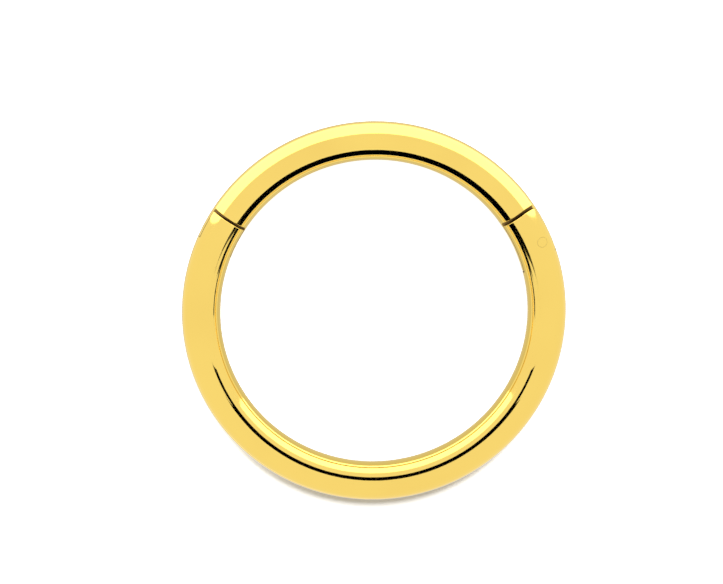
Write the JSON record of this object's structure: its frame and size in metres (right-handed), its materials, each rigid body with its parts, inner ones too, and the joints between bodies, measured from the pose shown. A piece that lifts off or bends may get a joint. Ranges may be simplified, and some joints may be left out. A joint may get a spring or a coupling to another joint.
{
  "type": "clicker ring",
  "caption": "Round-wire piercing ring with a hinged segment that swings outward on a pin and clicks shut into the ring body.",
  "frame": {"origin": "the ring's centre, on the surface that the ring lies on", "axes": "+Z along the ring's axis, +Y towards the hinged segment, +X towards the hinge side"},
  "size_m": [0.012, 0.012, 0.0012],
  "materials": {
    "polished_gold": "mirror-polished gold-coloured coating on surgical steel"
  },
  "bodies": {
    "ring": {"ring_body": "polished_gold", "hinge_pin": "polished_gold"},
    "segment": {"hinge_segment": "polished_gold"}
  },
  "joints": [
    {"name": "segment_hinge", "type": "hinge", "parent": "ring", "child": "segment", "pos_m": [0.00515, 0.00226, 0.0006], "axis": [0, 0, -1], "range_deg": [0, 105]}
  ]
}
